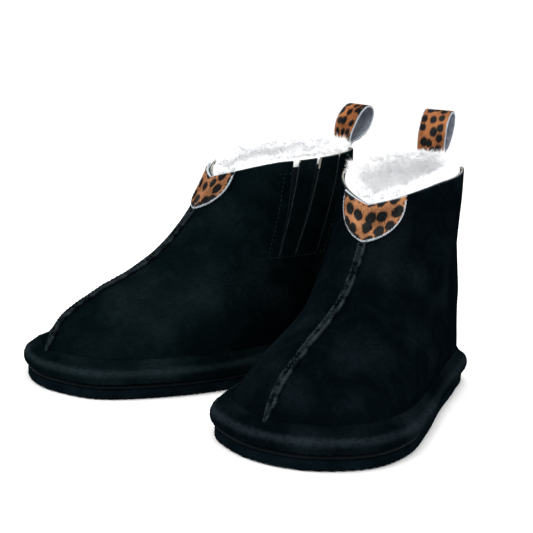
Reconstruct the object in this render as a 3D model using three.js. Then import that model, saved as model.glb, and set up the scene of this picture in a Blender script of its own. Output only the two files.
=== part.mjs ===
// A pair of fleece-lined suede ankle boots with a furry front patch and a pull loop each.
// Every layer of a boot is an offset of one surface, lofted from the sole outline to the
// collar. The left boot is modelled and the right one is its mirror image.
// Millimetres, +Z up, toes towards -Y, the left boot at +X.
import * as THREE from 'three';

// ---------- Driving dimensions ----------
const OUTSOLE = { bottom: 0, top: 6.5, inset: 0 };
const MIDSOLE = { bottom: 6.8, top: 9.0, inset: 0.8 };
const INSOLE_BOARD = { bottom: 9.7, top: 11.3, inset: 7.4 };
const FOOTBED = { bottom: 11.6, top: 19.6, inset: 10.5 };

const SUEDE = { outer: 0, inner: -1.8 };
const SKIRT = { top: 17, bottom: 9.6, inset: 4.5 }; // vertical wall behind the padded roll
const ROLL = { out: 2.8, middle: 14.8, halfHeight: 5.4, wallGap: 0.5, sides: 12 };

const COLLAR = {
  halfLength: 52,
  halfWidth: 36,
  heelSetback: 15, // the collar's back stands this far ahead of the skirt's heel
  frontHeight: 141,
  backHeight: 151,
  notchDepth: 11,
  notchReach: 0.19,
};
const VAMP_RIDGE = 0.75; // 0 is a round vamp, 1 a sharp ridge under the front seam
const VAMP_LEAN = 4; // how far the seam bows towards the outer side

const FLEECE = { outer: -2.2, inner: -9, floor: 20, start: 0.035, end: 1.008 };
const GORE = { outer: -2.1, inner: -3.3, bottom: 0.42, top: 0.965 };
const COUNTER = { outer: -2.1, inner: -3.5, bottom: 0.05, top: 0.36 };
const HIDDEN_LAYER_ROOM = 0.3; // gap between the fleece and a layer under it
const SEAM_GAP = 0.0006; // half the gap between the two suede halves, along u

const SLITS = [ // where each one starts and ends, along u, and its width at the collar
  { bottom: 0.673, top: 0.665, width: 1.4 },
  { bottom: 0.733, top: 0.725, width: 3.6 },
  { bottom: 0.766, top: 0.778, width: 5 },
];
const SLIT = { bottom: 0.52, bottomWidth: 1.2 };

const PATCH = {
  reach: 0.091, bottom: 0.803, gap: 0.55, thickness: 1.4, flatBottom: 0.3, squareness: 3,
};
const PIPING = { halfWidth: 2.6, gap: 0.6, height: 1.8, edge: 0.3, bottom: 0.03, top: 0.78 };
const BACK_STRIP = { halfWidth: 7, gap: 0.55, thickness: 1.2, bottom: 0.05, top: 0.985 };

const LOOP = {
  width: 20, height: 31, halfSpread: 8.4, wall: 1.4, foot: 4, lift: 3, sides: 28, pinch: 0.5,
};
const LOOP_TAIL = { outer: -2.8, inner: -5.4, halfWidth: 10, bottom: 0.89, top: 1.004 };

// shaftLean is how far the soft collar sits back, and loopLean is in degrees.
const STANDS = {
  left: { x: 65, y: 5.4, toeOut: 16.7, mirror: false, shaftLean: -3, loopLean: 26 },
  right: { x: -65, y: -5.4, toeOut: 16.7, mirror: true, shaftLean: 3.5, loopLean: 37 },
};
const SHAFT = { foot: 40, top: COLLAR.backHeight }; // the lean grows between these heights

// ---------- The boot's surface ----------
// u runs round the boot: toe 0, outer side 0.25, heel 0.5, inner side 0.75.
// t runs up it: 0 at the top of the skirt, 1 at the collar, -1 at the foot of the skirt.
const SOLE_OUTLINE = new THREE.CatmullRomCurve3([
  [-8, -122], [22, -118], [49, -95], [58, -61], [53, -19], [44, 27], [37, 73], [28, 109],
  [0, 121], [-27, 107], [-38, 72], [-47, 26], [-58, -18], [-58, -61], [-50, -95], [-33, -112],
].map(([x, y]) => new THREE.Vector3(x, y, 0)), true, 'catmullrom', 0.5);

// How far the wall has moved from the sole's edge towards the collar at each height.
const PROFILE_HEIGHTS = [0, 0.1, 0.22, 0.36, 0.52, 0.68, 0.84, 1];
const FRONT_PROFILE = [0, 0.045, 0.12, 0.33, 0.65, 0.815, 0.925, 1];
const SIDE_PROFILE = [0, 0.2, 0.46, 0.76, 0.83, 0.91, 0.96, 1];
const BACK_PROFILE = [0, 0, 0.01, 0.06, 0.29, 0.57, 0.85, 1];

const mix = (a, b, k) => a + (b - a) * k;
const wrap = (u) => u - Math.floor(u);
const HEEL_MIDDLE = 0.5;

function footprint(u, inset) {
  const here = SOLE_OUTLINE.getPoint(wrap(u));
  const along = SOLE_OUTLINE.getPoint(wrap(u + 0.001))
    .sub(SOLE_OUTLINE.getPoint(wrap(u - 0.001)))
    .normalize();
  return [here.x - along.y * inset, here.y + along.x * inset];
}

// A smooth curve through (heights, values), with end slopes taken from the end spans.
function profileAt(values, height) {
  const last = PROFILE_HEIGHTS.length - 1;
  const span = (k) => PROFILE_HEIGHTS[k + 1] - PROFILE_HEIGHTS[k];
  const slope = (k) => (values[k + 1] - values[k]) / span(k);
  const tangent = (k) => {
    if (k === 0) return slope(0);
    if (k === last) return slope(last - 1);
    return (slope(k - 1) * span(k) + slope(k) * span(k - 1)) / (span(k - 1) + span(k));
  };
  const h = THREE.MathUtils.clamp(height, 0, 1);
  let k = 0;
  while (k < last - 1 && h > PROFILE_HEIGHTS[k + 1]) k += 1;
  const s = (h - PROFILE_HEIGHTS[k]) / span(k);
  const rise = s * s * (3 - 2 * s);
  const leave = s * (1 - s) * (1 - s) * span(k) * tangent(k);
  const arrive = s * s * (s - 1) * span(k) * tangent(k + 1);
  return mix(values[k], values[k + 1], rise) + leave + arrive;
}

function collarPoint(u, notchDepth) {
  const c = Math.cos(2 * Math.PI * u);
  const s = Math.sin(2 * Math.PI * u);
  const heel = SOLE_OUTLINE.getPoint(0.5).y - SKIRT.inset;
  const fromSeam = Math.min(wrap(u), wrap(-u)) / COLLAR.notchReach;
  const notch = notchDepth * Math.max(0, 1 - fromSeam) ** 1.3;
  return [
    COLLAR.halfWidth * s,
    heel - COLLAR.heelSetback - COLLAR.halfLength * (1 + c),
    mix(COLLAR.backHeight, COLLAR.frontHeight, (1 + c) / 2) - notch,
  ];
}

function surfacePoint(u, t, ridge = VAMP_RIDGE, notchDepth = COLLAR.notchDepth) {
  const [baseX, baseY] = footprint(u, SKIRT.inset);
  if (t <= 0) return [baseX, baseY, mix(SKIRT.top, SKIRT.bottom, -t)];
  const [topX, topY, topZ] = collarPoint(u, notchDepth);
  const c = Math.cos(2 * Math.PI * u);
  const s = Math.abs(Math.sin(2 * Math.PI * u));
  const front = c > 0 ? mix(c * c, 1 - s, ridge) : 0;
  const back = c < 0 ? c * c : 0;
  const inward = front * profileAt(FRONT_PROFILE, t) + back * profileAt(BACK_PROFILE, t)
    + (1 - front - back) * profileAt(SIDE_PROFILE, t);
  const lean = c > 0 ? VAMP_LEAN * c * c * Math.sin(Math.PI * Math.min(t, 1)) : 0;
  return [mix(baseX, topX, inward) + lean, mix(baseY, topY, inward), mix(SKIRT.top, topZ, t)];
}

// Offsets follow the normals of a rounder surface, so that they never cross at the ridge.
function outward(u, t) {
  const step = (du, dt) => new THREE.Vector3(...surfacePoint(u + du, t + dt, 0, 0));
  const round = step(0.01, 0).sub(step(-0.01, 0));
  const up = step(0, 0.02).sub(step(0, -0.02));
  return round.cross(up).normalize();
}

function offsetPoint(u, t, offset) {
  const normal = outward(u, t);
  return new THREE.Vector3(...surfacePoint(u, t)).addScaledVector(normal, offset);
}

// Turns a width in millimetres into a step of u at (u, t).
function uPerMillimetre(u, t) {
  const ahead = new THREE.Vector3(...surfacePoint(u + 0.01, t, 0, 0));
  const behind = new THREE.Vector3(...surfacePoint(u - 0.01, t, 0, 0));
  return 0.02 / ahead.distanceTo(behind);
}

// ---------- Geometry builders ----------
class ClosedMesh {
  constructor() {
    this.points = [];
    this.triangles = [];
  }

  add(point) {
    this.points.push(point);
    return this.points.length - 1;
  }

  quad(a, b, c, d) {
    this.triangles.push([a, b, c], [a, c, d]);
  }

  geometry() {
    const corners = this.triangles.flat().flatMap((k) => this.points[k].toArray());
    const geometry = new THREE.BufferGeometry();
    geometry.setAttribute('position', new THREE.Float32BufferAttribute(corners, 3));
    geometry.computeVertexNormals();
    return geometry;
  }
}

// A closed skin between two offsets of the boot's surface. columns hold u, or u as a
// function of t; rows hold t; outer and inner give offsets; keep leaves cells out.
function skin({ columns, rows, outer, inner, keep = () => true, floor = -Infinity }) {
  const mesh = new ClosedMesh();
  const made = new Map();
  const kept = (i, j) => i >= 0 && j >= 0 && i < columns.length - 1 && j < rows.length - 1
    && keep(i, j);
  const corner = (i, j, layer) => {
    const key = `${i},${j},${layer}`;
    if (!made.has(key)) {
      const u = typeof columns[i] === 'function' ? columns[i](rows[j]) : columns[i];
      const offset = layer === 'outer' ? outer(i, j) : inner(i, j);
      const point = offsetPoint(u, rows[j], offset);
      point.z = Math.max(point.z, floor);
      made.set(key, mesh.add(point));
    }
    return made.get(key);
  };
  const wall = ([i, j], [m, n]) => {
    mesh.quad(corner(m, n, 'outer'), corner(i, j, 'outer'), corner(i, j, 'inner'),
      corner(m, n, 'inner'));
  };
  for (let i = 0; i < columns.length - 1; i += 1) {
    for (let j = 0; j < rows.length - 1; j += 1) {
      if (!kept(i, j)) continue;
      const cell = [[i, j], [i + 1, j], [i + 1, j + 1], [i, j + 1]];
      mesh.quad(...cell.map(([m, n]) => corner(m, n, 'outer')));
      const [a, b, c, d] = cell.map(([m, n]) => corner(m, n, 'inner'));
      mesh.quad(a, d, c, b); // the same diagonal as the outer quad
      if (!kept(i, j - 1)) wall(cell[0], cell[1]);
      if (!kept(i + 1, j)) wall(cell[1], cell[2]);
      if (!kept(i, j + 1)) wall(cell[2], cell[3]);
      if (!kept(i - 1, j)) wall(cell[3], cell[0]);
    }
  }
  return mesh.geometry();
}

const evenly = (from, to, count) => Array.from({ length: count + 1 },
  (_, k) => mix(from, to, k / count));

// ---------- Shared grid ----------
const ROWS = [-1, 0, FLEECE.start, 0.07, 0.15, 0.24, 0.33, 0.42, 0.52, 0.62, 0.72, 0.82, 0.91, 1];
const OUTER_SIDE = [SEAM_GAP, 0.03, 0.06, 0.09, 0.125, 0.16, 0.2, 0.24, 0.28, 0.32, 0.365, 0.41,
  0.455, 0.5 - SEAM_GAP];

function slitEdges() {
  return SLITS.flatMap(({ bottom, top, width }) => [-0.5, 0.5].map((side) => (t) => {
    const opening = THREE.MathUtils.clamp((t - SLIT.bottom) / (1 - SLIT.bottom), 0, 1);
    const middle = mix(bottom, top, opening);
    const gap = mix(SLIT.bottomWidth, width, opening);
    return middle + side * gap * uPerMillimetre(middle, Math.max(t, SLIT.bottom));
  }));
}

const INNER_SIDE = [
  0.5 + SEAM_GAP, 0.545, 0.59, 0.635, ...slitEdges(), 0.815, 0.85, 0.88, 0.91, 0.94, 0.97,
  1 - SEAM_GAP,
];
const FIRST_SLIT_EDGE = 4;
const isSlitColumn = (i) => i >= FIRST_SLIT_EDGE && i < FIRST_SLIT_EDGE + 6
  && (i - FIRST_SLIT_EDGE) % 2 === 0;
const RING = [...OUTER_SIDE, ...INNER_SIDE.map((u) => (typeof u === 'function' ? u(0) : u))];
const GORE_COLUMNS = { first: 3, last: 10 };
const COUNTER_REACH = { outerSide: 11, innerSide: 2 };

const rowsBetween = (bottom, top) => [bottom, ...ROWS.filter((t) => t > bottom && t < top), top];

// ---------- Parts of one boot ----------
function solePlate({ bottom, top, inset }, ring = evenly(0, 1, 64).slice(0, -1)) {
  const edge = ring.map((u) => new THREE.Vector2(...footprint(u, inset)));
  const plate = new THREE.ExtrudeGeometry(new THREE.Shape(edge), {
    depth: top - bottom,
    bevelEnabled: false,
  });
  return plate.translate(0, 0, bottom);
}

// The padded roll: a flattened round section carried round the sole's edge.
function weltRoll() {
  const innerEdge = SKIRT.inset - ROLL.wallGap;
  const halfWidth = (ROLL.out + innerEdge) / 2;
  const mesh = new ClosedMesh();
  const sections = RING.map((u) => evenly(0, 1, ROLL.sides).slice(0, -1).map((part) => {
    const angle = 2 * Math.PI * part;
    const inset = innerEdge - halfWidth * (1 + Math.cos(angle));
    const [x, y] = footprint(u, inset);
    return mesh.add(new THREE.Vector3(x, y, ROLL.middle + ROLL.halfHeight * Math.sin(angle)));
  }));
  sections.forEach((section, i) => {
    const next = sections[(i + 1) % sections.length];
    section.forEach((corner, k) => {
      const up = (k + 1) % ROLL.sides;
      mesh.quad(corner, next[k], next[up], section[up]);
    });
  });
  return mesh.geometry();
}

function outerUpper() {
  return skin({
    columns: OUTER_SIDE,
    rows: ROWS,
    outer: () => SUEDE.outer,
    inner: () => SUEDE.inner,
  });
}

function innerUpper() {
  return skin({
    columns: INNER_SIDE,
    rows: ROWS,
    outer: () => SUEDE.outer,
    inner: () => SUEDE.inner,
    keep: (i, j) => !(isSlitColumn(i) && ROWS[j] >= SLIT.bottom),
  });
}

function goreElastic() {
  return skin({
    columns: INNER_SIDE.slice(GORE_COLUMNS.first, GORE_COLUMNS.last + 1),
    rows: rowsBetween(GORE.bottom, GORE.top),
    outer: () => GORE.outer,
    inner: () => GORE.inner,
  });
}

function heelCounter() {
  return skin({
    columns: [...OUTER_SIDE.slice(COUNTER_REACH.outerSide),
      ...INNER_SIDE.slice(0, COUNTER_REACH.innerSide + 1)],
    rows: rowsBetween(COUNTER.bottom, COUNTER.top),
    outer: () => COUNTER.outer,
    inner: () => COUNTER.inner,
  });
}

// The fleece steps inwards wherever another layer lies between it and the suede.
function fleeceLining(columns, isOuterSide) {
  const rows = [...ROWS.filter((t) => t >= FLEECE.start), FLEECE.end];
  const heelEnd = isOuterSide ? columns.length - 1 : 0;
  const under = (i, j) => {
    const fromHeel = Math.abs(i - heelEnd);
    const counterReach = isOuterSide
      ? columns.length - 1 - COUNTER_REACH.outerSide
      : COUNTER_REACH.innerSide;
    if (fromHeel <= 1 && rows[j] > LOOP_TAIL.bottom - 0.1) return LOOP_TAIL.inner;
    if (fromHeel <= counterReach && rows[j] < COUNTER.top + 0.08) return COUNTER.inner;
    const besideGore = !isOuterSide && i >= GORE_COLUMNS.first && i <= GORE_COLUMNS.last;
    if (besideGore && rows[j] > GORE.bottom - 0.1) return GORE.inner;
    return FLEECE.outer + HIDDEN_LAYER_ROOM;
  };
  return skin({
    columns,
    rows,
    outer: (i, j) => under(i, j) - HIDDEN_LAYER_ROOM,
    inner: () => FLEECE.inner,
    floor: FLEECE.floor,
  });
}

// A band that runs up the boot over the seam at u = middle, a fixed width in millimetres.
function seamBand(middle, { halfWidth, gap, bottom, top }, thicknessAt) {
  const across = evenly(-1, 1, 4);
  return skin({
    columns: across.map((a) => (t) => middle + a * halfWidth * uPerMillimetre(middle, t)),
    rows: rowsBetween(bottom, top),
    outer: (i) => gap + thicknessAt(across[i]),
    inner: () => gap,
  });
}

function frontPatch() {
  const across = evenly(-1, 1, 12);
  const heights = evenly(0, 1, 7).map((k) => mix(PATCH.bottom, 1, k ** 1.5));
  const reachAt = (t) => {
    const down = (1 - t) / (1 - PATCH.bottom);
    const round = Math.sqrt(Math.max(0, 1 - down ** PATCH.squareness));
    return PATCH.reach * Math.max(PATCH.flatBottom, round);
  };
  return skin({
    columns: across.map((a) => (t) => a * reachAt(t)),
    rows: heights,
    outer: () => PATCH.gap + PATCH.thickness,
    inner: () => PATCH.gap,
  });
}

function loopTail() {
  const { halfWidth, bottom, top, outer, inner } = LOOP_TAIL;
  return skin({
    columns: evenly(-1, 1, 4).map((a) => (t) => (
      HEEL_MIDDLE + a * halfWidth * uPerMillimetre(HEEL_MIDDLE, t))),
    rows: [bottom, mix(bottom, top, 0.5), top],
    outer: () => outer,
    inner: () => inner,
  });
}

// A teardrop in the strap's side view: y across the loop, z along it.
function teardrop(halfSpread, height, footHalf, raise) {
  const first = Math.asin(Math.min(1, footHalf / halfSpread));
  return evenly(first, 2 * Math.PI - first, LOOP.sides).map((angle) => new THREE.Vector2(
    halfSpread * Math.sin(angle) * mix(LOOP.pinch, 1, Math.sin(angle / 2)),
    raise + height * ((1 - Math.cos(angle)) / 2),
  ));
}

function pullLoop() {
  const outside = teardrop(LOOP.halfSpread, LOOP.height, LOOP.foot / 2, 0);
  const hole = teardrop(LOOP.halfSpread - LOOP.wall, LOOP.height - LOOP.foot - LOOP.wall, 0.4,
    LOOP.foot);
  const shape = new THREE.Shape(outside);
  shape.holes.push(new THREE.Path(hole.reverse()));
  const strap = new THREE.ExtrudeGeometry(shape, { depth: LOOP.width, bevelEnabled: false });
  // The profile's x becomes the boot's y, its y becomes z, and the strap's width lies along x.
  return strap.translate(0, 0, -LOOP.width / 2)
    .applyMatrix4(new THREE.Matrix4().makeBasis(
      new THREE.Vector3(0, 1, 0), new THREE.Vector3(0, 0, 1), new THREE.Vector3(1, 0, 0)));
}

// ---------- Materials ----------
const finish = (color, roughness, metalness = 0) => () => (
  new THREE.MeshStandardMaterial({ color, roughness, metalness }));
const blackSuede = finish(0x141719, 0.95);
const soleRubber = finish(0x16191b, 0.8);
const midsoleFoam = finish(0x1d2022, 0.85);
const whiteFleece = finish(0xf1f0ec, 1);
const leopardHair = finish(0xc9955c, 0.75);
const ribbedElastic = finish(0x14191f, 0.7);
const fibreBoard = finish(0x8a7a62, 0.9);
const stiffener = finish(0xb9b2a2, 0.9);

function bootPieces() {
  const backCollar = offsetPoint(HEEL_MIDDLE, 1, (LOOP_TAIL.outer + LOOP_TAIL.inner) / 2);
  return [
    { name: 'outsole', geometry: solePlate(OUTSOLE), material: soleRubber },
    { name: 'midsole', geometry: solePlate(MIDSOLE), material: midsoleFoam },
    { name: 'welt_roll', geometry: weltRoll(), material: blackSuede },
    { name: 'insole_board', geometry: solePlate(INSOLE_BOARD, RING), material: fibreBoard },
    { name: 'footbed', geometry: solePlate(FOOTBED, RING), material: whiteFleece },
    { name: 'upper_outer_side', geometry: outerUpper(), material: blackSuede },
    { name: 'upper_inner_side', geometry: innerUpper(), material: blackSuede },
    { name: 'gore_elastic', geometry: goreElastic(), material: ribbedElastic },
    { name: 'heel_counter', geometry: heelCounter(), material: stiffener },
    { name: 'lining_outer_side', geometry: fleeceLining(OUTER_SIDE, true), material: whiteFleece },
    { name: 'lining_inner_side', geometry: fleeceLining(INNER_SIDE, false), material: whiteFleece },
    {
      name: 'front_piping',
      geometry: seamBand(0, PIPING, (a) => mix(PIPING.edge, PIPING.height, 1 - a * a)),
      material: blackSuede,
    },
    {
      name: 'back_strip',
      geometry: seamBand(HEEL_MIDDLE, BACK_STRIP, () => BACK_STRIP.thickness),
      material: blackSuede,
    },
    { name: 'front_patch', geometry: frontPatch(), material: leopardHair },
    { name: 'pull_loop_tail', geometry: loopTail(), material: leopardHair },
    {
      name: 'pull_loop',
      geometry: pullLoop(),
      material: leopardHair,
      position: backCollar.add(new THREE.Vector3(0, 0, LOOP.lift)),
    },
  ];
}

// Mirrors a triangle list in x and turns each triangle over again.
function mirrored(geometry) {
  const flat = geometry.index ? geometry.toNonIndexed() : geometry;
  const source = flat.getAttribute('position');
  const corners = [];
  for (let k = 0; k < source.count; k += 3) {
    [k, k + 2, k + 1].forEach((m) => {
      corners.push(-source.getX(m), source.getY(m), source.getZ(m));
    });
  }
  const copy = new THREE.BufferGeometry();
  copy.setAttribute('position', new THREE.Float32BufferAttribute(corners, 3));
  copy.computeVertexNormals();
  return copy;
}

// The collar sits a little further back or forward than the lofted surface has it.
function leaned(geometry, shaftLean) {
  const source = geometry.getAttribute('position');
  for (let k = 0; k < source.count; k += 1) {
    const share = THREE.MathUtils.smoothstep(source.getZ(k), SHAFT.foot, SHAFT.top);
    source.setY(k, source.getY(k) + shaftLean * share);
  }
  geometry.computeVertexNormals();
  return geometry;
}

function boot(side, { x, y, toeOut, mirror, shaftLean, loopLean }) {
  const group = new THREE.Group();
  bootPieces().forEach(({ name, geometry, material, position }) => {
    const shaped = position ? geometry : leaned(geometry, shaftLean);
    const mesh = new THREE.Mesh(mirror ? mirrored(shaped) : shaped, material());
    mesh.name = `${side}_${name}`;
    if (position) { // the free loop
      mesh.position.set(mirror ? -position.x : position.x, position.y + shaftLean, position.z);
      mesh.rotation.x = -THREE.MathUtils.degToRad(loopLean);
    }
    group.add(mesh);
  });
  group.position.set(x, y, 0);
  group.rotation.z = THREE.MathUtils.degToRad(mirror ? -toeOut : toeOut);
  return group;
}

// ---------- The pair, centred over its footprint ----------
const pair = new THREE.Group();
Object.entries(STANDS).forEach(([side, stand]) => pair.add(boot(side, stand)));
pair.updateMatrixWorld(true);
const bounds = new THREE.Box3().setFromObject(pair, true);
pair.position.set(-(bounds.min.x + bounds.max.x) / 2, -(bounds.min.y + bounds.max.y) / 2, 0);

export default pair;
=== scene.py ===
import math
from itertools import product

import bpy
import numpy as np
from mathutils import Matrix, Vector


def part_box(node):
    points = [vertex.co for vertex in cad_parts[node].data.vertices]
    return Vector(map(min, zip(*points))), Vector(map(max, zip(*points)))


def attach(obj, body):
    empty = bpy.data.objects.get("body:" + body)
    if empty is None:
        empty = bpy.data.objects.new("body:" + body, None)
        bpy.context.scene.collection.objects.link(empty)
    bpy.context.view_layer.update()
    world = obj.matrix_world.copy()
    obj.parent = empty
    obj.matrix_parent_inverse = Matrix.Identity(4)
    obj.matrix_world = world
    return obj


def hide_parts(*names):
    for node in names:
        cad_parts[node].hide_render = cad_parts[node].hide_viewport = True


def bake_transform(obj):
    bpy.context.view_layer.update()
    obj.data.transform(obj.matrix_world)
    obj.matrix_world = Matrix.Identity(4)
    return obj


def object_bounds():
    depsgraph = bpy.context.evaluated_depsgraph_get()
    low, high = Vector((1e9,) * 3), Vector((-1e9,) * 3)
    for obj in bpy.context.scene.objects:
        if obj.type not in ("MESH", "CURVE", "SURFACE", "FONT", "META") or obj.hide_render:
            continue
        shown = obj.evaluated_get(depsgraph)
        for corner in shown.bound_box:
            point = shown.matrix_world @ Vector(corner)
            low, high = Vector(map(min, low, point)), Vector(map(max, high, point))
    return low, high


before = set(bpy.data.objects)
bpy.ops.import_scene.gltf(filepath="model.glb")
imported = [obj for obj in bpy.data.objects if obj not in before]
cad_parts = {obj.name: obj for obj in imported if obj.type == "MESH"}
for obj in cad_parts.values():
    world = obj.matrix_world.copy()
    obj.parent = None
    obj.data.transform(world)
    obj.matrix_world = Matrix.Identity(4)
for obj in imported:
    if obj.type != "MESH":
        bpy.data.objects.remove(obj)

CAD_BOX = [list(corner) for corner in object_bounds()]
MM = 0.001
TAU = 2 * math.pi

# ---------- The boot's sizes, in millimetres, as in the CAD part ----------
OUTSOLE_TOP = 6.5
MIDSOLE = (6.8, 9.0)
FOOTBED = (11.6, 19.6)
FOOTBED_INSET = 10.5
SUEDE_THICKNESS = 1.8
SKIRT_TOP, SKIRT_BOTTOM, SKIRT_INSET = 17.0, 9.6, 4.5
COLLAR_HALF_LENGTH, COLLAR_HALF_WIDTH, HEEL_SETBACK = 52.0, 36.0, 15.0
COLLAR_FRONT, COLLAR_BACK, NOTCH_DEPTH, NOTCH_REACH = 141.0, 151.0, 11.0, 0.19
VAMP_RIDGE, VAMP_LEAN = 0.75, 4.0
FLEECE_OUTER, FLEECE_INNER, FLEECE_START = -2.2, -9.0, 0.035
SEAM_GAP = 0.0006
SLITS = ((0.673, 0.665, 1.4), (0.733, 0.725, 3.6), (0.766, 0.778, 5.0))  # u low, u high, width
SLIT_BOTTOM, SLIT_BOTTOM_WIDTH = 0.52, 0.5
PATCH_MIDDLE, PATCH_REACH, PATCH_BOTTOM, PATCH_GAP, PATCH_THICKNESS = 0.004, 0.088, 0.805, 0.55, 1.4
PATCH_TOP = PATCH_GAP + PATCH_THICKNESS
PIPING_HALF_WIDTH, PIPING_GAP = 2.6, 0.6
BACK_STRIP_HALF_WIDTH, BACK_STRIP_GAP, BACK_STRIP_THICKNESS = 7.0, 0.55, 1.2
BACK_STRIP_SEAM = 0.72  # its seams' distance from the middle, in half widths
LOOP_WIDTH, LOOP_HEIGHT, LOOP_HALF_SPREAD, LOOP_LIFT, STRAP_THICKNESS = 20.0, 31.0, 8.4, 3.0, 1.4
LOOP_LEAN = {"left": 26.0, "right": 37.0}
LOOP_TWIST = {"left": 0.0, "right": -13.0}  # how far the soft strap is turned about its foot
SHAFT_LEAN = {"left": -3.0, "right": 3.5}
SHAFT_FOOT = 40.0
TAIL_MIDDLE, TAIL_BOTTOM = -4.1, 0.89
TOE_OUT = 16.7

OUTLINE = np.array([
    (-8, -122), (22, -118), (49, -95), (58, -61), (53, -19), (44, 27), (37, 73), (28, 109),
    (0, 121), (-27, 107), (-38, 72), (-47, 26), (-58, -18), (-58, -61), (-50, -95), (-33, -112),
], float)
HEIGHTS = np.array([0, 0.1, 0.22, 0.36, 0.52, 0.68, 0.84, 1])
FRONT_PROFILE = np.array([0, 0.045, 0.12, 0.33, 0.65, 0.815, 0.925, 1])
SIDE_PROFILE = np.array([0, 0.2, 0.46, 0.76, 0.83, 0.91, 0.96, 1])
BACK_PROFILE = np.array([0, 0, 0.01, 0.06, 0.29, 0.57, 0.85, 1])

# Soft bends in the suede: u, lowest and highest t, depth in millimetres, width in u.
BENDS = ((0.345, 0.08, 0.34, 1.5, 0.011), (0.30, 0.03, 0.2, 0.7, 0.012),
         (0.66, 0.06, 0.3, 1.1, 0.012), (0.43, 0.12, 0.36, 0.9, 0.013))


# ---------- The boot's surface ----------
# u runs round the boot: toe 0, outer side 0.25, heel 0.5, inner side 0.75.
# t runs up it: 0 at the top of the skirt, 1 at the collar, -1 at the foot of the skirt.
def mix(a, b, k):
    return a + (b - a) * k


def smooth(x, low, high):
    k = np.clip((x - low) / (high - low), 0, 1)
    return k * k * (3 - 2 * k)


def bell(x, width):
    return np.exp(-(x / width) ** 2)


def unit(vectors):
    return vectors / np.linalg.norm(vectors, axis=-1, keepdims=True)


def ring_curve(points, place, pull=0.5):
    """A smooth closed curve through points. place counts them, and may lie between two."""
    k = np.floor(place).astype(int)
    w = (place - k).reshape(*place.shape, *[1] * (points.ndim - 1))
    before, here, after, beyond = (points[(k + step) % len(points)] for step in (-1, 0, 1, 2))
    leave, arrive = pull * (after - before), pull * (beyond - here)
    square = -3 * here + 3 * after - 2 * leave - arrive
    cube = 2 * here - 2 * after + leave + arrive
    return here + leave * w + square * w ** 2 + cube * w ** 3


def outline(u):
    return ring_curve(OUTLINE, np.mod(u, 1) * len(OUTLINE))


def footprint(u, inset):
    u = np.asarray(u, float)
    along = unit(outline(u + 0.001) - outline(u - 0.001))
    inwards = np.stack([-along[..., 1], along[..., 0]], -1)
    return outline(u) + inwards * np.asarray(inset, float)[..., None]


def foot_line(u, inset, z):
    """The footprint drawn in by inset, at height z."""
    u, inset, z = np.broadcast_arrays(*(np.asarray(v, float) for v in (u, inset, z)))
    return np.concatenate([footprint(u, inset), z[..., None]], -1)


def from_front(u):
    """How far u is from the front seam, round either side."""
    return np.minimum(np.mod(u, 1), np.mod(-u, 1))


def profile_at(values, height):
    spans = np.diff(HEIGHTS)
    slopes = np.diff(values) / spans
    inner = (slopes[:-1] * spans[1:] + slopes[1:] * spans[:-1]) / (spans[:-1] + spans[1:])
    tangents = np.concatenate([slopes[:1], inner, slopes[-1:]])
    h = np.clip(height, 0, 1)
    k = np.clip(np.searchsorted(HEIGHTS, h, side="left") - 1, 0, len(spans) - 1)
    s = (h - HEIGHTS[k]) / spans[k]
    rise = s * s * (3 - 2 * s)
    leave = s * (1 - s) ** 2 * spans[k] * tangents[k]
    arrive = s * s * (s - 1) * spans[k] * tangents[k + 1]
    return mix(values[k], values[k + 1], rise) + leave + arrive


def surface(u, t, ridge=VAMP_RIDGE, notch_depth=NOTCH_DEPTH):
    u, t = np.broadcast_arrays(np.asarray(u, float), np.asarray(t, float))
    base = footprint(u, np.full(u.shape, SKIRT_INSET))
    c, s = np.cos(TAU * u), np.abs(np.sin(TAU * u))
    heel = OUTLINE[len(OUTLINE) // 2][1] - SKIRT_INSET
    notch = notch_depth * np.maximum(0, 1 - from_front(u) / NOTCH_REACH) ** 1.3
    top_x = COLLAR_HALF_WIDTH * np.sin(TAU * u)
    top_y = heel - HEEL_SETBACK - COLLAR_HALF_LENGTH * (1 + c)
    top_z = mix(COLLAR_BACK, COLLAR_FRONT, (1 + c) / 2) - notch
    front = np.where(c > 0, mix(c * c, 1 - s, ridge), 0)
    back = np.where(c < 0, c * c, 0)
    inward = (front * profile_at(FRONT_PROFILE, t) + back * profile_at(BACK_PROFILE, t)
              + (1 - front - back) * profile_at(SIDE_PROFILE, t))
    lean = np.where(c > 0, VAMP_LEAN * c * c * np.sin(math.pi * np.clip(t, 0, 1)), 0)
    x = mix(base[..., 0], top_x, inward) + lean
    y = mix(base[..., 1], top_y, inward)
    z = np.where(t <= 0, mix(SKIRT_TOP, SKIRT_BOTTOM, -t), mix(SKIRT_TOP, top_z, t))
    return np.stack([x, y, z], -1)


def way_round(u, t):
    """The step that 0.02 of a turn makes here, on the surface without its ridge and notch."""
    return surface(u + 0.01, t, 0, 0) - surface(u - 0.01, t, 0, 0)


def outward(u, t):
    u, t = np.broadcast_arrays(np.asarray(u, float), np.asarray(t, float))
    up = surface(u, t + 0.02, 0, 0) - surface(u, t - 0.02, 0, 0)
    return unit(np.cross(way_round(u, t), up))


def u_per_mm(u, t):
    return 0.02 / np.linalg.norm(way_round(u, t), axis=-1)


def lumps(points, size, seed):
    """Smooth noise from -1 to 1 at these points, with lumps about size millimetres across."""
    count = 24
    cells = np.random.default_rng(seed).uniform(-1, 1, (count,) * 3)
    place = np.asarray(points, float) / size + 1000
    k = np.floor(place).astype(int)
    f = place - k
    f = f * f * (3 - 2 * f)
    total = 0
    for corner in product((0, 1), repeat=3):
        x, y, z = (np.where(step, f[..., axis], 1 - f[..., axis]) for axis, step in enumerate(corner))
        cell = np.moveaxis((k + corner) % count, -1, 0)
        total = total + x * y * z * cells[tuple(cell)]
    return total


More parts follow.
